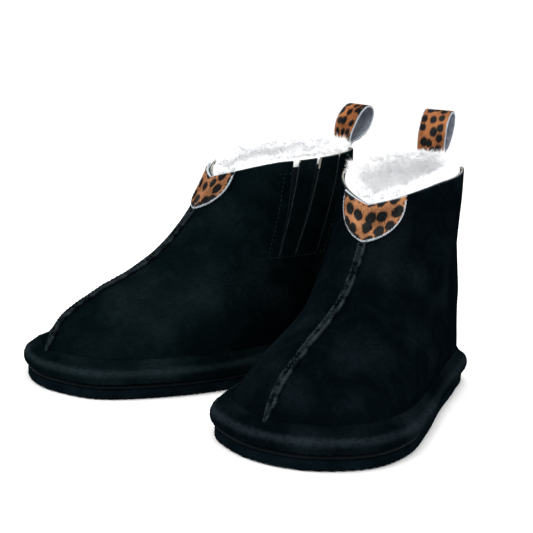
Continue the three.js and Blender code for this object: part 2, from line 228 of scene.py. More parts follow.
def flat_lumps(x, y, size, seed):
    x, y = np.broadcast_arrays(x, y)
    return lumps(np.stack([x, y, np.zeros(x.shape)], -1), size, seed)


def lump_vectors(points, size, seed):
    return np.stack([lumps(points, size, seed + axis) for axis in range(3)], -1)


def relief(u, t):
    """How far the soft suede stands off the lofted surface: slow waves, soft bends, and small
    gathers at the toe, where it is drawn in under the roll."""
    base = surface(u, t)
    waves = 0.55 * lumps(base, 34, 11) + 0.22 * lumps(base, 13, 12)
    near_toe = bell(from_front(u), 0.13) * np.exp(-np.maximum(t, 0) / 0.05)
    gathers = 0.42 * near_toe * np.sin(TAU * (np.asarray(u) * 62 + 0.6 * lumps(base, 22, 13)))
    creases = 0
    for place, low, high, depth, width in BENDS:
        run = smooth(t, low, low + 0.09) * (1 - smooth(t, high - 0.1, high))
        bent = np.mod(u, 1) - place - 0.03 * (np.asarray(t) - low)
        bulge = 0.7 * bell(bent - 1.9 * width, width)
        creases = creases - depth * run * (bell(bent, width) - bulge)
    hold = 1 - 0.75 * smooth(t, 0.86, 1.0)  # the collar's edge is stitched, so it lies quieter
    return (waves * smooth(t, -0.1, 0.15) + creases) * hold + gathers


def on_boot(u, t, offset, shaped=True):
    u, t, offset = np.broadcast_arrays(*(np.asarray(v, float) for v in (u, t, offset)))
    if shaped:
        offset = offset + relief(u, t)
    return surface(u, t) + outward(u, t) * offset[..., None]


# ---------- Meshes ----------
def grid_quads(rows_i, rows_j, start=0, closed_i=False, closed_j=False):
    """Quads of a grid of points numbered i * rows_j + j, facing out of i x j."""
    i = np.arange(rows_i if closed_i else rows_i - 1)
    j = np.arange(rows_j if closed_j else rows_j - 1)
    i, j = (k.ravel() for k in np.meshgrid(i, j, indexing="ij"))
    right, up = (i + 1) % rows_i, (j + 1) % rows_j
    return start + np.stack([i * rows_j + j, right * rows_j + j, right * rows_j + up,
                             i * rows_j + up], -1)


def shell(outer, inner, keep=None):
    """A closed skin between two grids of points, without the cells where keep is false.
    Returns points and quads: the outer faces, the inner ones, then the cut edges."""
    ni, nj = outer.shape[:2]
    if keep is None:
        keep = np.ones((ni - 1, nj - 1), bool)
    points = np.concatenate([outer.reshape(-1, 3), inner.reshape(-1, 3)])
    below = ni * nj
    i, j = np.nonzero(keep)
    here, right = i * nj + j, (i + 1) * nj + j
    faces = np.stack([here, right, right + 1, here + 1], -1)
    quads = [faces, faces[:, ::-1] + below]
    padded = np.pad(keep, 1)
    for di, dj, a, b in ((0, -1, 0, 1), (1, 0, 1, 2), (0, 1, 2, 3), (-1, 0, 3, 0)):
        edge = ~padded[i + 1 + di, j + 1 + dj]
        first, second = faces[edge, a], faces[edge, b]
        quads.append(np.stack([second, first, first + below, second + below], -1))
    return points, np.concatenate(quads)


def outside_only(values):
    """Values for a shell's points: these on its outer grid, and 0 on its inner one."""
    return np.concatenate([values.ravel(), np.zeros(values.size)])


def tidy(points, faces, extras):
    """Leaves out the points that no face uses."""
    used = np.unique(np.concatenate([np.ravel(f) for f in faces]))
    number = np.full(len(points), -1)
    number[used] = np.arange(len(used))
    return (points[used], [number[np.asarray(f)] for f in faces],
            {name: np.asarray(values)[used] for name, values in extras.items()})


class Boot:
    def __init__(self, side):
        self.side = side
        self.seed = 100 if side == "left" else 200
        self.flip = -1.0 if side == "right" else 1.0
        angle = math.radians(TOE_OUT) * self.flip
        self.turn = np.array([[math.cos(angle), -math.sin(angle)],
                              [math.sin(angle), math.cos(angle)]])
        corners = footprint(np.arange(64) / 64, 0) * [self.flip, 1]
        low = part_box(f"{side}_outsole")[0]
        self.shift = np.array(low[:2]) / MM - (corners @ self.turn.T).min(0)

    def place(self, points):
        """Boot millimetres to row-frame metres."""
        points = np.array(points, float)
        points[..., 1] += SHAFT_LEAN[self.side] * smooth(points[..., 2], SHAFT_FOOT, COLLAR_BACK)
        points = points * [self.flip, 1, 1]
        flat = points[..., :2] @ self.turn.T + self.shift
        return np.concatenate([flat, points[..., 2:]], -1) * MM

    def rng(self, step):
        return np.random.default_rng(self.seed + step)

    def piece(self, name, points, faces, materials, slot, replaces=(), indices=None, body="boot",
              **extras):
        """A mesh piece of this boot. faces is a list of arrays of quads or triangles, and
        extras are attributes, with a value for each point."""
        faces = [np.asarray(f) for f in faces if len(f)]
        points, faces, extras = tidy(points, faces, {"local": points, **extras})
        if self.flip < 0:
            faces = [f[:, ::-1] for f in faces]
        name = f"{self.side}_{name}_piece"
        mesh = bpy.data.meshes.new(name)
        mesh.from_pydata(self.place(points).tolist(), [], [face for f in faces for face in f.tolist()])
        for material in materials:
            mesh.materials.append(material)
        if indices is not None:
            mesh.polygons.foreach_set("material_index", np.asarray(indices, np.int32))
        mesh.polygons.foreach_set("use_smooth", np.ones(len(mesh.polygons), bool))
        for key, values in extras.items():
            values = np.asarray(values, np.float32)
            kind, field = ("FLOAT_VECTOR", "vector") if values.ndim == 2 else ("FLOAT", "value")
            mesh.attributes.new(key, kind, "POINT").data.foreach_set(field, values.ravel())
        mesh.update()
        thing = bpy.data.objects.new(name, mesh)
        bpy.context.scene.collection.objects.link(thing)
        if body:
            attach(thing, f"{self.side}_{body}")
        if replaces:
            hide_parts(*(f"{self.side}_{node}" for node in replaces))
        return thing


def skin(boot, node, outer, inner, material, slot, **extras):
    """A shell that replaces one CAD node. extras hold values for its outer grid."""
    points, quads = shell(outer, inner)
    extras = {key: outside_only(values) for key, values in extras.items()}
    boot.piece(node, points, [quads], [material], slot, [node], **extras)


def frames_along(path, normals):
    """The direction along a path of points, and the sideways one."""
    along = unit(np.gradient(path, axis=0))
    return along, unit(np.cross(normals, along))


def lengths_along(path):
    return np.concatenate([[0], np.cumsum(np.linalg.norm(np.diff(path, axis=0), axis=1))])


def resample(path, step):
    lengths = lengths_along(path)
    count = max(2, int(round(lengths[-1] / step)) + 1)
    at = np.linspace(0, lengths[-1], count)
    return np.stack([np.interp(at, lengths, path[:, k]) for k in range(path.shape[1])], -1)


STITCH_SIDES, STITCH_RINGS = 6, 7


def stitches(runs, length, gap, radius, rng):
    """Thread stitches along runs of (path, normals): each is a small loaf, sunk at its ends."""
    part = np.arange(STITCH_RINGS)[:, None] / (STITCH_RINGS - 1)
    girth = radius * np.sqrt(np.maximum(0.05, 1 - (2 * part - 1) ** 4))
    lift = radius * (0.75 * np.sin(math.pi * part) - 0.35)
    angles = np.arange(STITCH_SIDES)[:, None] / STITCH_SIDES * TAU
    near_end = np.array([[5, 4, 3, 0], [3, 2, 1, 0]])
    far_end = near_end[:, ::-1] + (STITCH_RINGS - 1) * STITCH_SIDES
    loaf = np.concatenate([grid_quads(STITCH_RINGS, STITCH_SIDES, closed_j=True), near_end, far_end])
    points, quads = [], []
    for path, normals in runs:
        joined = resample(np.hstack([path, normals]), length + gap)
        spots, ups = joined[:, :3], unit(joined[:, 3:])
        along, side = frames_along(spots, ups)
        for spot, up, run, across in zip(spots[:-1], ups, along, side):
            run = run + across * rng.normal(0, 0.09)
            middle = spot + run * (part * (length * rng.uniform(0.9, 1.05))) + up * lift
            ring = np.cos(angles) * across + np.sin(angles) * up
            quads.append(loaf + len(points) * STITCH_SIDES * STITCH_RINGS)
            points.append((middle[:, None] + girth[..., None] * ring).reshape(-1, 3))
    return np.concatenate(points), np.concatenate(quads)


def sew(boot, name, lines, lift, length, gap, radius, step, material, slot="black_suede"):
    """A piece of stitches along lines of (u, t) that lie lift above the lofted surface."""
    runs = [(on_boot(u, t, lift), outward(u, t)) for u, t in lines]
    points, quads = stitches(runs, length, gap, radius, boot.rng(step))
    boot.piece(name, points, [quads], [material], slot)


def strands(roots, directions, bends, lengths, widths, steps=3):
    """Tapered three-sided hairs. bends pull each hair sideways as it grows."""
    directions = unit(directions)
    across = unit(np.cross(directions, bends + 1e-6))
    over = np.cross(directions, across)
    rings = []
    for k in range(steps):
        part = k / steps
        middle = roots + (directions * part + bends * part ** 2) * lengths[:, None]
        girth = (widths * (1 - 0.75 * part))[:, None]
        for angle in (TAU * corner / 3 for corner in range(3)):
            rings.append(middle + (across * math.cos(angle) + over * math.sin(angle)) * girth)
    tip = roots + (directions + bends) * lengths[:, None]
    points = np.stack([*rings, tip], 1)
    here, size = np.arange(3), points.shape[1]
    after = (here + 1) % 3
    quads = np.concatenate([np.stack([here, after, after + 3, here + 3], 1) + 3 * k
                            for k in range(steps - 1)])
    point = np.stack([here + size - 4, after + size - 4, [size - 1] * 3], 1)
    starts = (np.arange(len(roots)) * size)[:, None, None]
    return points.reshape(-1, 3), [(starts + quads).reshape(-1, 4),
                                   (starts + np.concatenate([[[0, 2, 1]], point])).reshape(-1, 3)]


def lay_hair(rng, roots, run, normal, press, stray, lengths):
    """Short hairs that lie along run. press bends them down, and stray sideways."""
    count = len(roots)
    aim = run + normal * rng.uniform(0.12, 0.3, count)[:, None] + rng.normal(0, 0.1, roots.shape)
    bends = -press * normal
    if stray:
        bends = bends + rng.normal(0, stray, roots.shape)
    return strands(roots, aim, bends, rng.uniform(*lengths, count), rng.uniform(0.08, 0.13, count), steps=2)


# ---------- Materials ----------
class Finish:
    """One procedural material, built node by node. Lengths in it are millimetres."""

    def __init__(self, name, on_cad=False, **constants):
        self.material = bpy.data.materials.new(name)
        self.material.use_nodes = True
        self.tree = self.material.node_tree
        self.tree.nodes.clear()
        self.shader = self.add("BsdfPrincipled")
        output = self.add("OutputMaterial")
        self.tree.links.new(self.shader.outputs["BSDF"], output.inputs["Surface"])
        self.shade(**constants)
        if on_cad:  # a CAD node has no attributes of its own, so this uses its own place in metres
            self.where = self.stretch(self.add("TexCoord").outputs["Object"], (1 / MM,) * 3)
        else:
            self.where = self.attribute("local", "Vector")

    def shade(self, **sockets):
        """Sets sockets of the shader, and returns the material."""
        for socket, value in sockets.items():
            self.put(self.shader, socket.replace("_", " "), value)
        return self.material

    def add(self, kind, inputs=None, **settings):
        node = self.tree.nodes.new("ShaderNode" + kind)
        for key, value in settings.items():
            setattr(node, key, value)
        for socket, value in (inputs or {}).items():
            self.put(node, socket, value)
        return node

    def put(self, node, socket, value):
        if isinstance(value, bpy.types.NodeSocket):
            self.tree.links.new(value, node.inputs[socket])
        elif value is not None:
            node.inputs[socket].default_value = value

    def attribute(self, name, output="Fac"):
        return self.add("Attribute", attribute_name=name).outputs[output]

    def stretch(self, vector, scale):
        return self.add("Mapping", {"Vector": vector, "Scale": scale}).outputs["Vector"]

    def noise(self, size, detail=3.0, roughness=0.5, vector=None, distortion=0.0, output="Fac"):
        vector = self.where if vector is None else vector
        return self.add("TexNoise", {"Vector": vector, "Scale": 1 / size, "Detail": detail,
                                     "Roughness": roughness, "Distortion": distortion}).outputs[output]

    def maths(self, operation, a, b=None, c=None, clamp=False):
        return self.add("Math", {0: a, 1: b, 2: c}, operation=operation, use_clamp=clamp).outputs[0]

    def ramp(self, value, low, high):
        """0 below low, 1 above high, smooth between."""
        return self.add("MapRange", {"Value": value, "From Min": low, "From Max": high},
                        interpolation_type="SMOOTHSTEP").outputs["Result"]

    def blend(self, factor, a, b):
        a, b = ((*value, 1) if isinstance(value, tuple) else value for value in (a, b))
        return self.add("Mix", {0: factor, 6: a, 7: b}, data_type="RGBA").outputs[2]

    def bump(self, height, distance, strength=1.0, under=None):
        """distance is how many millimetres a height of 1 stands up."""
        return self.add("Bump", {"Height": height, "Distance": distance * MM, "Strength": strength,
                                 "Normal": under}).outputs["Normal"]


def suede(name, dark, nap, edge):
    """Brushed suede: a dark nap with lighter strokes, turned toward the pale edge colour where wear is 1.
    That attribute holds real wear at cut edges and painted highlight on lit parts.
    """
    f = Finish(name, Specular_IOR_Level=0.0)
    strokes = f.noise(16, 4, 0.62, distortion=1.2)
    fine = f.noise(2.4, 4, 0.7, f.stretch(f.where, (1.0, 0.55, 1.6)))
    fibre = f.noise(0.45, 2, 0.7)
    speckle = f.maths("MULTIPLY_ADD", f.ramp(fine, 0.3, 0.75), 0.7, 0.3)
    lift = f.maths("MULTIPLY", f.ramp(strokes, 0.38, 0.72), speckle, clamp=True)
    skin = f.blend(lift, dark, nap)
    skin = f.blend(f.maths("MULTIPLY", fibre, 0.35), skin, tuple(0.4 * c for c in dark))
    # Paler toward the edge colour: real wear at cut edges, and painted highlight on the roll's shoulder,
    # the piping's ridges and a patch of the vamp.
    lightening = f.maths("MULTIPLY", f.attribute("wear"), f.ramp(fine, 0.15, 0.6))
    return f.shade(Base_Color=f.blend(lightening, skin, edge),
                   Roughness=f.ramp(f.maths("SUBTRACT", 2.4, fine), -0.6, 2.2),
                   Normal=f.bump(fibre, 0.12, 0.8, f.bump(fine, 0.35, 0.6)))


def leopard(name, cell, dark_tan, light_tan, tips):
    """Short spotted hair. pattern holds millimetres across and along the hide, and rim the
    distance from its cut edge."""
    f = Finish(name, Specular_IOR_Level=0.15)
    flat = f.attribute("pattern", "Vector")
    hair = f.noise(0.5, 3, 0.65, f.stretch(flat, (1.0, 0.16, 1.0)))
    wobble = f.noise(1 / 0.45, vector=flat, output="Color")
    moved = f.add("VectorMath", {0: wobble, 1: (cell * 0.2, cell * 0.2, 0), 2: flat},
                  operation="MULTIPLY_ADD").outputs[0]
    spots = f.add("TexVoronoi", {"Vector": f.stretch(moved, (1.0, 0.82, 1.0)), "Scale": 1 / cell,
                                 "Randomness": 0.62}, voronoi_dimensions="2D", feature="F1")
    size = f.add("SeparateColor", {"Color": spots.outputs["Color"]}).outputs[0]
    reach = f.maths("MULTIPLY_ADD", size, 0.12, 0.35)
    ragged = f.maths("MULTIPLY_ADD", hair, 0.07, -0.035)
    inside = f.maths("SUBTRACT", reach, f.maths("ADD", spots.outputs["Distance"], ragged))
    tan = f.blend(f.ramp(f.noise(9, 2, 0.5, flat), 0.3, 0.7), dark_tan, light_tan)
    tan = f.blend(f.maths("MULTIPLY", f.ramp(hair, 0.35, 0.75), 0.5), tan, tips)
    halo = f.maths("MULTIPLY", f.ramp(inside, -0.14, 0.0), 0.4)
    tan = f.blend(halo, tan, tuple(0.6 * c for c in dark_tan))
    black = f.blend(f.ramp(hair, 0.4, 0.8), (0.0015, 0.002, 0.0025), (0.009, 0.008, 0.0075))
    coat = f.blend(f.ramp(inside, -0.02, 0.025), tan, black)
    pale = f.blend(f.noise(1.2, 3, 0.6), (0.24, 0.28, 0.32), (0.4, 0.44, 0.47))
    return f.shade(Base_Color=f.blend(f.ramp(f.attribute("rim"), 0.95, 1.2), pale, coat),
                   Roughness=f.maths("MULTIPLY_ADD", hair, 0.3, 0.45),
                   Normal=f.bump(hair, 0.25, 0.8))


def plain(name, dark, light, size, grain, depth, roughness, gloss, on_cad=False):
    """A surface mottled between two colours, with a grain of its own."""
    f = Finish(name, on_cad, Specular_IOR_Level=gloss)
    patch = f.noise(size, 4, 0.6)
    fine = f.noise(grain, 3, 0.65)
    mottled = f.maths("ADD", f.maths("MULTIPLY", patch, 0.7), f.maths("MULTIPLY", fine, 0.3))
    return f.shade(Base_Color=f.blend(f.ramp(mottled, 0.35, 0.65), dark, light),
                   Roughness=f.maths("MULTIPLY_ADD", fine, 0.25, roughness), Normal=f.bump(fine, depth))


def wool_finish(name, low, high, warm):
    # The faint white emission is painted light: the wool glows a little, which lifts its shaded hollows.
    f = Finish(name, Specular_IOR_Level=0.05, Roughness=0.95, Subsurface_Weight=0.6,
               Subsurface_Radius=(1.0, 1.0, 1.0), Subsurface_Scale=0.012,
               Emission_Color=(0.97, 0.98, 1.0, 1.0), Emission_Strength=0.08)
    curl = f.noise(2.6, 4, 0.7, distortion=1.6)
    shade = f.blend(f.ramp(curl, 0.25, 0.7), low, high)
    wide = f.maths("MULTIPLY", f.ramp(f.noise(18, 2, 0.5), 0.4, 0.75), 0.5)
    return f.shade(Base_Color=f.blend(wide, shade, warm), Normal=f.bump(curl, 0.35, 0.6))


def elastic_finish():
    f = Finish("ribbed_elastic", Specular_IOR_Level=0.05)
    weave = f.add("TexWave", {"Vector": f.where, "Scale": 1.3, "Distortion": 0.6},
                  wave_type="BANDS", bands_direction="Z").outputs["Fac"]
    fine = f.noise(0.5, 2, 0.6)
    colour = f.blend(f.maths("MULTIPLY", weave, fine), (0.002, 0.004, 0.007), (0.012, 0.02, 0.03))
    return f.shade(Base_Color=colour, Roughness=f.maths("MULTIPLY_ADD", fine, 0.3, 0.5),
                   Normal=f.bump(weave, 0.15))


# The right boot's copy is a little lighter than the left's: painted light and shade, as both boots are the
# same suede.
SUEDE = {
    "left": suede("black_suede_left", (0.0007, 0.0018, 0.0026), (0.0022, 0.0044, 0.006),
                  (0.026, 0.038, 0.047)),
    "right": suede("black_suede_right", (0.0008, 0.0025, 0.003), (0.0026, 0.006, 0.007),
                   (0.025, 0.039, 0.046)),
}
# The piping's copy of the black suede is lighter than the upper's: painted highlight on the raised seam.
PIPING_SUEDE = suede("piping_suede", (0.001, 0.0022, 0.003), (0.0036, 0.0062, 0.0078),
                     (0.045, 0.06, 0.07))
HAIR_PATCH = leopard("leopard_patch", 7.2, (0.215, 0.085, 0.03), (0.31, 0.13, 0.053),
                     (0.41, 0.205, 0.1))
HAIR_STRAP = leopard("leopard_strap", 5.9, (0.235, 0.078, 0.022), (0.33, 0.118, 0.038),
                     (0.42, 0.175, 0.07))
WOOL = wool_finish("white_wool", (0.86, 0.868, 0.888), (0.96, 0.965, 0.975), (0.93, 0.925, 0.905))
ELASTIC = elastic_finish()
# After the two colours: mottling, grain and its depth in millimetres, roughness, gloss.
CUT_EDGE = plain("suede_cut_edge", (0.16, 0.15, 0.13), (0.34, 0.32, 0.28), 4, 0.6, 0.15, 0.7, 0.2)
SLIT_EDGE = plain("slit_cut_edge", (0.003, 0.007, 0.008), (0.014, 0.024, 0.026), 3, 0.5, 0.15, 0.7, 0.2)
PALE_EDGE = plain("hide_cut_edge", (0.24, 0.28, 0.32), (0.4, 0.44, 0.47), 3, 0.6, 0.12, 0.6, 0.25)
FLESH_SIDE = plain("hide_flesh_side", (0.11, 0.122, 0.15), (0.21, 0.23, 0.265), 5, 0.7, 0.2, 0.65, 0.1)
RUBBER = plain("sole_rubber", (0.001, 0.0026, 0.0038), (0.0026, 0.0054, 0.0074), 12, 0.9, 0.06, 0.6, 0.0)
MIDSOLE_FOAM = plain("midsole_foam", (0.0008, 0.0022, 0.0032), (0.0024, 0.005, 0.0068), 6, 0.7, 0.12,
                     0.7, 0.04)
THREAD = plain("black_thread", (0.004, 0.005, 0.006), (0.014, 0.015, 0.017), 1.5, 0.35, 0.05, 0.5, 0.1)
DARK_THREAD = plain("grey_thread", (0.004, 0.009, 0.01), (0.012, 0.022, 0.024), 1.5, 0.35, 0.05, 0.5,
                    0.1)
FIBRE_BOARD = plain("fibre_board", (0.13, 0.09, 0.05), (0.26, 0.19, 0.12), 3, 0.8, 0.1, 0.6, 0.3,
                    on_cad=True)
STIFFENER = plain("stiffener", (0.4, 0.37, 0.3), (0.58, 0.54, 0.46), 5, 0.8, 0.1, 0.6, 0.3, on_cad=True)


# ---------- Pieces of one boot ----------
def lip(distance, radius):
    """How far a surface drops where it rounds over within radius of an edge."""
    k = np.clip(1 - distance / radius, 0, 1)
    return radius * (1 - np.sqrt(1 - k * k))


def edge_rows(first, last, count):
    """Even rows with a few close ones before the last, where an edge is rounded."""
    close = 0.0012 * np.array([6, 3.5, 2, 1, 0.4, 0])
    return np.concatenate([np.linspace(first, last, count)[:-1], last - close])


UPPER_ROWS = np.concatenate([[-1, -0.6, -0.25], np.linspace(0, 0.2, 24)[:-1], edge_rows(0.2, 1.0, 72)])


def slit_edges(t):
    """u of the slits' edges at height t, in order round the boot."""
    opening = np.clip((t - SLIT_BOTTOM) / (1 - SLIT_BOTTOM), 0, 1)
    edges = []
    for low, high, wide in SLITS:
        place = mix(low, high, opening)
        width = mix(SLIT_BOTTOM_WIDTH, wide, opening ** 1.5)
        step = 0.5 * width * u_per_mm(place, np.maximum(t, SLIT_BOTTOM))
        edges += [place - step, place + step]
    return edges


def upper_half(boot, node, columns, keep):
    """One suede half. columns holds u for each point of its grid, and keep says which cells
    are there."""
    t = np.broadcast_to(UPPER_ROWS, columns.shape)
    drop = lip((1 - t) * (COLLAR_BACK - SKIRT_TOP), 0.7)
    outer = on_boot(columns, t, -drop)
    inner = on_boot(columns, t, -SUEDE_THICKNESS + np.minimum(drop, 0.3), shaped=False)
    sunk = (relief(columns, t) < -0.9)[..., None]  # in a bend the inner side gives way too
    inner = np.where(sunk, on_boot(columns, t, -SUEDE_THICKNESS), inner)
    points, quads = shell(outer, inner, keep)
    wear = np.maximum(0.75 * smooth(t, 0.993, 1.0),
                      0.10 * lumps(outer, 18, boot.seed) * smooth(t, 0.05, 0.2))
    # Painted highlight: a soft pale patch on the inner side's vamp flank, near the toe, where the light
    # falls.
    wear = wear + 0.07 * bell(columns - 0.88, 0.06) * bell(t - 0.28, 0.26)
    if node == "upper_inner_side":
        for edge, lightening in zip(slit_edges(t), (0.08, 0.42) * len(SLITS)):
            away = np.abs(columns - edge) / u_per_mm(0.72, 0.8)
            near = np.clip(1 - away / 0.8, 0, 1) * (t > SLIT_BOTTOM - 0.01)
            wear = np.maximum(wear, lightening * near)
    cut = points[quads[2 * np.count_nonzero(keep):]]
    at_top = cut.mean(1)[:, 2] > COLLAR_FRONT - NOTCH_DEPTH - 2
    level = np.ptp(cut[..., 2], axis=1) < 1.5
    indices = np.zeros(len(quads), int)
    indices[-len(cut):] = np.where(at_top & level, 1, 2)
    boot.piece(node, points, [quads], [SUEDE[boot.side], CUT_EDGE, SLIT_EDGE], "black_suede", [node],
               indices=indices, wear=outside_only(wear))


def outer_upper(boot):
    u = np.linspace(SEAM_GAP, 0.5 - SEAM_GAP, 170)
    columns = np.repeat(u[:, None], len(UPPER_ROWS), 1)
    upper_half(boot, "upper_outer_side", columns, np.ones((len(u) - 1, len(UPPER_ROWS) - 1), bool))


def inner_upper(boot):
    """The half with the slits. Its columns follow the slits' edges."""
    first, last = np.full((2, len(UPPER_ROWS)), [[0.5 + SEAM_GAP], [1 - SEAM_GAP]])
    marks = [first, *slit_edges(UPPER_ROWS), last]
    columns, in_slit = [], []
    for k, count in enumerate((50, 3, 16, 3, 14, 3, 72)):
        parts = np.linspace(0, 1, count + 1)[:-1]
        if k % 2 == 0:  # closer columns beside a slit, so that its lip is crisp
            parts = np.sort(np.concatenate([parts, [0.004, 0.012, 0.988, 0.996]]))
        columns += [mix(marks[k], marks[k + 1], part) for part in parts]
        in_slit += [k % 2 == 1] * len(parts)
    columns.append(last)
    upper_half(boot, "upper_inner_side", np.array(columns),
               ~np.outer(in_slit, UPPER_ROWS[:-1] >= SLIT_BOTTOM))


def gore_elastic(boot):
    top, middle = 0.965, 0.725
    u, t = np.meshgrid(np.linspace(0.637, 0.813, 240), edge_rows(0.42, top, 70), indexing="ij")
    across = (u - middle) / u_per_mm(middle, 0.8)
    ribs = 0.22 * np.abs(np.sin(math.pi * across / 1.5)) - 0.1
    roll = lip((top - t) * 130, 0.5)
    outer = on_boot(u, t, -2.4 + ribs * 0.8 - roll, shaped=False)
    inner = on_boot(u, t, -3.25 + roll, shaped=False)
    skin(boot, "gore_elastic", outer, inner, ELASTIC, "ribbed_elastic")


def gore_stitches(boot):
    """The box of stitches that holds the elastic, and a line along the collar's edge."""
    t = np.linspace(0.5, 0.93, 120)
    part = (t - t[0]) / np.ptp(t)
    lines = [(mix(low, high, part), t) for low, high in ((0.785, 0.800), (0.652, 0.640))]
    lines += [(np.linspace(low, high, 90), level)
              for low, high, level in ((0.652, 0.785, 0.5), (0.785, 0.815, 0.935))]
    sew(boot, "gore_stitches", lines, 0.05, 1.8, 1.2, 0.17, 80, DARK_THREAD)


# The roll's section, (inset from the sole's edge, height), from its inner foot outwards.
ROLL_SECTION = ((4.0, 9.8), (0.6, 9.4), (-2.0, 10.6), (-2.8, 13.6), (-2.1, 16.4), (-0.3, 18.4),
                (2.0, 19.8))
ROLL_WALL = ((4.0, 16.6), (4.0, 13.2))
ROLL_TOP, ROLL_TUCK = 23.4, 20.0  # where it meets the upper, and how deep its seam lies


def welt_roll(boot):
    """Stuffed suede round the foot: its top is drawn in to the upper and sewn down."""
    count, sides = 600, 36
    u = np.arange(count) / count
    rise = surface(u, 1.0)[:, 2] - SKIRT_TOP
    ring = [foot_line(u, *corner) for corner in ROLL_SECTION]
    ring.append(on_boot(u, (ROLL_TOP - SKIRT_TOP) / rise, 0.2))
    ring.append(on_boot(u, (ROLL_TUCK - SKIRT_TOP) / rise, 0.3))
    ring += [foot_line(u, *corner) for corner in ROLL_WALL]
    place = np.arange(sides) / sides * len(ring)  # along the section, counted in its corners
    points = np.swapaxes(ring_curve(np.stack(ring), place, 0.42), 0, 1)
    out = unit(points - points.mean(1, keepdims=True))
    facing = smooth(place, 0.4, 2.0) * (1 - smooth(place, 5.4, 7.0))
    toe = bell(from_front(u), 0.16)[:, None]
    puff = 0.45 * lumps(points, 15, 31) + 0.22 * lumps(points, 5, 32)
    pulls = (0.10 + 0.26 * toe) * np.sin(TAU * (u[:, None] * 88 + 0.8 * lumps(points, 30, 33)))
    points = points + out * ((puff + pulls) * facing)[..., None]
    # Painted highlight: the roll's shoulder, which faces up to the light, is turned paler, most at the toe;
    # the lumps are real tone.
    shoulder_highlight = smooth(place, 2.9, 4.2) * (1 - smooth(place, 4.4, 6.0))
    wear = 0.04 + 0.22 * shoulder_highlight * (0.7 + 0.5 * toe) + 0.1 * lumps(points, 20, 34)
    quads = grid_quads(count, sides, closed_i=True, closed_j=True)
    roll = boot.piece("welt_roll", points.reshape(-1, 3), [quads], [SUEDE[boot.side]], "black_suede",
                      ["welt_roll"], wear=np.clip(wear, 0, 1).ravel())


def weld(points, quads, close=1e-4):
    """Joins points in the same place, and turns quads that lose a corner into triangles."""
    keys = np.round(points / close).astype(np.int64)
    _, first, number = np.unique(keys, axis=0, return_index=True, return_inverse=True)
    number = number.ravel()
    points, quads = points[first], number[quads]
    same = [quads[:, k] == quads[:, (k + 1) % 4] for k in range(4)]
    lost = np.sum(same, 0)
    tris = []
    for k in range(4):
        pick = same[k] & (lost == 1)
        tris.append(np.delete(quads[pick], (k + 1) % 4, axis=1))
    tris = np.concatenate(tris)
    proper = (tris[:, 0] != tris[:, 1]) & (tris[:, 1] != tris[:, 2]) & (tris[:, 0] != tris[:, 2])
    whole = (lost == 0) & (quads[:, 0] != quads[:, 2]) & (quads[:, 1] != quads[:, 3])
    return points, [quads[whole], tris[proper]]


def capped_ring(boot, name, profile, material, slot, count=640, ripple=None, tread=None):
    """A plate round the footprint: profile holds (inset, z) from its lower rim to its upper
    rim, and both caps are grids drawn in to the foot's middle line. ripple shapes the rims and
    tread the lower cap."""
    profile = np.array(profile, float)
    u = np.arange(count) / count
    ring_u, inset = np.meshgrid(u, profile[:, 0], indexing="ij")
    z = np.broadcast_to(profile[:, 1], ring_u.shape)
    if ripple:
        inset, z = ripple(ring_u, inset, z)
    walls = foot_line(ring_u, inset, z)
    points = [walls.reshape(-1, 3)]
    quads = [grid_quads(count, len(profile), closed_i=True)]
    spine = np.stack([np.zeros(count), np.clip(outline(u)[:, 1], -72, 84)], -1)
    for level, steps in ((0, [*np.linspace(0, 0.97, 34), 1.0]), (-1, [0, 0.3, 0.7, 1.0])):
        steps = np.array(steps)
        rim = walls[:, level]
        cap = mix(rim[:, None, :2], spine[:, None], steps[None, :, None])
        high = np.broadcast_to(rim[:, None, 2], cap.shape[:2])
        if tread and level == 0:
            high = mix(high, tread(cap), smooth(steps, 0, 0.05)[None])
        faces = grid_quads(count, len(steps), sum(len(p) for p in points), closed_i=True)
        quads.append(faces[:, ::-1] if level == 0 else faces)
        points.append(np.concatenate([cap, high[..., None]], -1).reshape(-1, 3))
    points, quads = weld(np.concatenate(points), np.concatenate(quads))
    return boot.piece(name, points, quads, [material], slot, [name])


def soles(boot):
    def edge_ripple(u, inset, z):
        y = footprint(u, inset)[..., 1]
        ridge = 0.5 + 0.5 * np.sin(TAU * y / 4.2 + 1.5 * np.sin(y / 19))
        low = 1 - smooth(z, 0.3, 2.0)
        return inset + 0.25 * low * ridge, z + 0.3 * low * ridge * (z < 1)

    def tread(flat):
        x, y = flat[..., 0], flat[..., 1]
        wave = np.sin(TAU * (y + 2.2 * np.sin(TAU * x / 16)) / 8.4)
        return 1.3 * smooth(wave, -0.15, 0.25)

    profile = [(2.2, 0.0), (1.0, 0.0), (0.45, 0.35), (0.2, 0.9), (0.15, 1.6), (0.3, 3.2),
               (0.15, 5.0), (0.2, 5.8), (0.35, 6.35), (1.3, OUTSOLE_TOP)]
    capped_ring(boot, "outsole", profile, RUBBER, "sole_rubber", ripple=edge_ripple, tread=tread)
    low, high = MIDSOLE
    profile = [(2.0, low), (0.7, low + 0.05), (0.35, low + 0.4), (0.3, (low + high) / 2),
               (0.4, high - 0.5), (0.9, high - 0.1), (2.0, high)]
    capped_ring(boot, "midsole", profile, MIDSOLE_FOAM, "midsole_foam", count=420)


def footbed(boot):
    low, high = FOOTBED
    inset = FOOTBED_INSET
    profile = [(inset + 3, low), (inset + 0.6, low + 0.4), (inset, low + 2), (inset, high - 4),
               (inset + 0.8, high - 1.6), (inset + 3, high - 0.5)]
    pad = capped_ring(boot, "footbed", profile, WOOL, "white_fleece", count=300)


